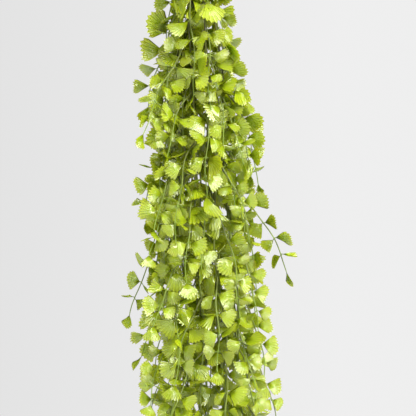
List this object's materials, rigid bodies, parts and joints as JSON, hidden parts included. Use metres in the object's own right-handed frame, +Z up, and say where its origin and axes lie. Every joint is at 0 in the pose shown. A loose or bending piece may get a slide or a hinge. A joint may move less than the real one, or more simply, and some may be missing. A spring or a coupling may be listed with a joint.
{
  "type": "potted fern",
  "caption": "Trailing maidenhair fern in a flat-backed wall pot; a long narrow bunch of fronds with fan-shaped leaflets hangs over the front rim.",
  "frame": {"origin": "on the pot's flat back, on its centre line and level with the front rim", "axes": "+Z up, +Y out of the flat back into the wall, +X to the right for someone who faces the wall"},
  "size_m": [0.3095, 0.2059, 0.8004],
  "materials": {
    "fired_clay": "matt pale unglazed clay",
    "compost": "crumbly, matt",
    "rootstock": "scaly, matt",
    "stalk": "wiry, slightly glossy",
    "leaf": "thin veined leaf with a soft sheen"
  },
  "bodies": {
    "root": {"wall_pot": "fired_clay", "potting_soil": "compost", "rootstock": "rootstock", "trailing_frond_01": "leaf", "trailing_frond_02": "leaf", "trailing_frond_03": "leaf", "trailing_frond_04": "leaf", "trailing_frond_05": "leaf", "trailing_frond_06": "leaf", "trailing_frond_07": "leaf", "trailing_frond_08": "leaf", "trailing_frond_09": "leaf", "trailing_frond_10": "leaf", "trailing_frond_11": "leaf", "trailing_frond_12": "leaf", "crown_frond_01": "leaf", "crown_frond_02": "leaf", "crown_frond_03": "leaf", "crown_frond_04": "leaf", "crown_frond_05": "leaf", "crown_frond_06": "leaf", "crown_frond_07": "leaf", "crown_frond_08": "leaf", "crown_frond_09": "leaf"}
  },
  "joints": []
}
